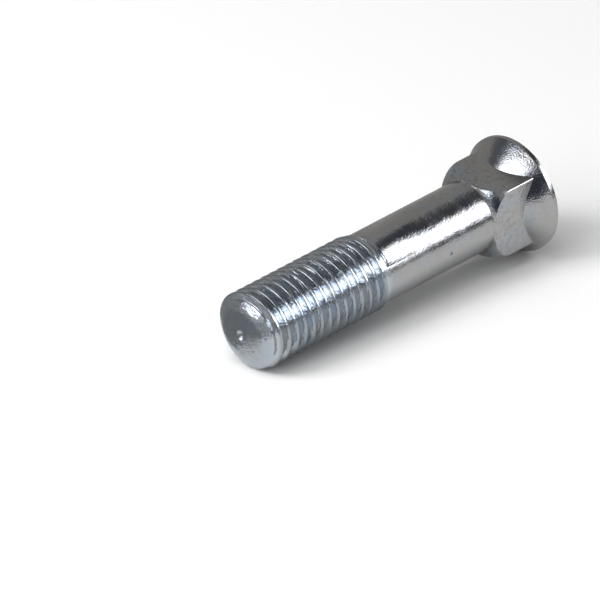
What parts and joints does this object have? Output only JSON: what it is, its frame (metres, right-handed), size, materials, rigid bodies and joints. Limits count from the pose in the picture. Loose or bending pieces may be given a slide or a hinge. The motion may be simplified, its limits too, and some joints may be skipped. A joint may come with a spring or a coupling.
{
  "type": "plow bolt",
  "caption": "Forged plow bolt with a flat countersunk head, a square neck that stops it turning, a plain shank and a coarse right-hand thread.",
  "frame": {"origin": "centre of the head's flat outer face, on which the bolt stands", "axes": "+Z along the shank from the head to the threaded point; X and Y square to the flats of the neck"},
  "size_m": [0.0282, 0.028, 0.087],
  "materials": {
    "zinc_plated_steel": "bright zinc plating"
  },
  "bodies": {
    "root": {"bolt": "zinc_plated_steel"}
  },
  "joints": []
}
